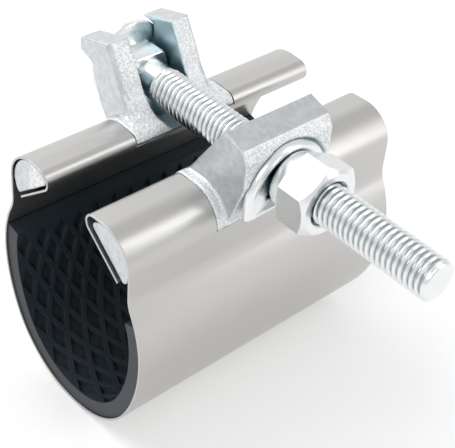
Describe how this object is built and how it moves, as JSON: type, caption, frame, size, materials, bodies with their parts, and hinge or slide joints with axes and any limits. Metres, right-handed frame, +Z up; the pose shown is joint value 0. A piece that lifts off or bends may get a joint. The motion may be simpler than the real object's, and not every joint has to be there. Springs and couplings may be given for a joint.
{
  "type": "pipe repair clamp",
  "caption": "Wrap-around pipe repair clamp: a rubber-lined thin steel band with folded ends hooked round two cast lugs that a bolt and nut draw together",
  "frame": {"origin": "on the axis of the pipe that the lining seats on, midway along the band", "axes": "X across the pipe along the bolt, towards its threaded tip; Y along the pipe; Z up, towards the bolt"},
  "size_m": [0.1033, 0.08, 0.0811],
  "materials": {
    "band_steel": "satin stainless sheet",
    "rubber": "dull moulded rubber",
    "cast_lug": "bright zinc-plated casting",
    "zinc_steel": "bright zinc-plated steel"
  },
  "bodies": {
    "clamp": {"band": "band_steel", "gasket": "rubber", "fork_lug": "cast_lug", "front_lug": "cast_lug", "bolt": "zinc_steel"},
    "washer": {"washer": "zinc_steel"},
    "nut": {"nut": "zinc_steel"}
  },
  "joints": [
    {"name": "nut_travel", "type": "slide", "parent": "clamp", "child": "washer", "axis": [1, 0, 0], "range_m": [0, 0.027]},
    {"name": "nut_turn", "type": "hinge", "parent": "washer", "child": "nut", "pos_m": [0.034, 0, 0.044], "axis": [1, 0, 0], "range_deg": [0, 6480]}
  ],
  "couplings": [
    {"joint": "nut_travel", "follows": "nut_turn", "m_per_rad": 0.00023873}
  ]
}
